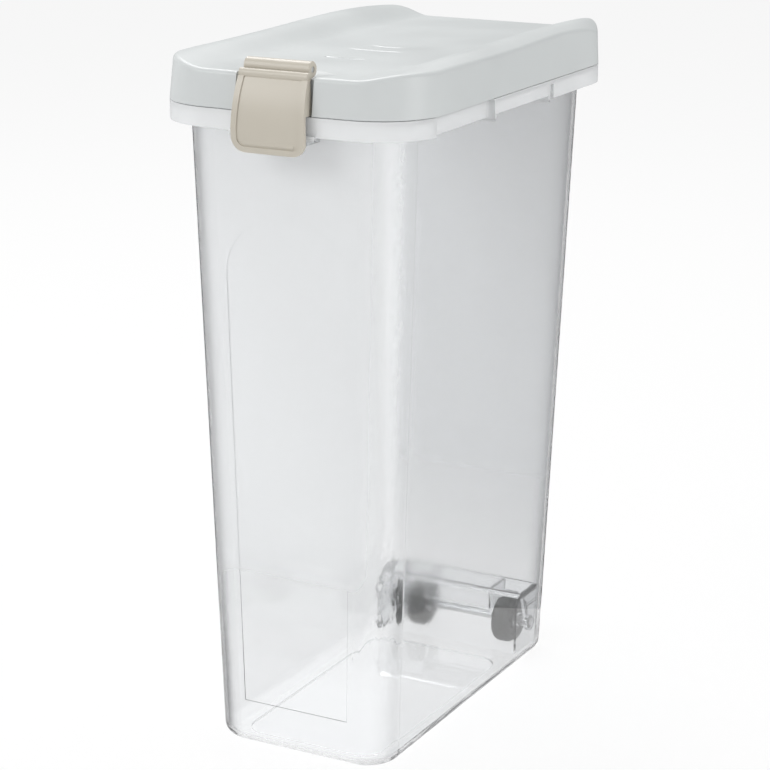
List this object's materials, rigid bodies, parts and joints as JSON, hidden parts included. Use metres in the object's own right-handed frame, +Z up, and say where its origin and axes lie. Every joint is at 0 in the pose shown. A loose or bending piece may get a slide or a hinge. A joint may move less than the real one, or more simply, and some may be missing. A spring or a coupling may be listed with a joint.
{
  "type": "pet food storage bin",
  "caption": "Tall tapered clear bin for dry pet food, with a hinged lid, a front latch over the rim, side hand grips and rear wheels in a niche of the floor.",
  "frame": {"origin": "on the floor, under the middle of the bin", "axes": "+Z up, -Y towards the front with the latch, +X to the right as seen from the front"},
  "size_m": [0.2, 0.3546, 0.4964],
  "materials": {
    "clear_plastic": "clear, faintly frosted moulding",
    "white_plastic": "moulded, satin",
    "lid_plastic": "moulded, satin",
    "latch_plastic": "moulded, satin",
    "wheel_plastic": "moulded, dull",
    "seal_rubber": "soft, dull",
    "steel": "drawn rod"
  },
  "bodies": {
    "bin": {"tub": "clear_plastic", "wheel_carrier": "white_plastic", "axle": "steel", "hinge_pin_left": "steel", "hinge_pin_right": "steel"},
    "lid": {"lid": "lid_plastic", "lid_seal": "seal_rubber", "latch_pin": "steel"},
    "latch": {"latch": "latch_plastic"},
    "wheel_left": {"wheel_left": "wheel_plastic"},
    "wheel_right": {"wheel_right": "wheel_plastic"}
  },
  "joints": [
    {"name": "lid_hinge", "type": "hinge", "parent": "bin", "child": "lid", "pos_m": [0, 0.1733, 0.459], "axis": [-1, 0, 0], "range_deg": [0, 105]},
    {"name": "latch_pivot", "type": "hinge", "parent": "lid", "child": "latch", "pos_m": [0, -0.16, 0.491], "axis": [-1, 0, 0], "range_deg": [0, 110]},
    {"name": "wheel_left_spin", "type": "hinge", "parent": "bin", "child": "wheel_left", "pos_m": [-0.0375, 0.129, 0.019], "axis": [1, 0, 0], "continuous": true},
    {"name": "wheel_right_spin", "type": "hinge", "parent": "bin", "child": "wheel_right", "pos_m": [0.0375, 0.129, 0.019], "axis": [1, 0, 0], "continuous": true}
  ]
}
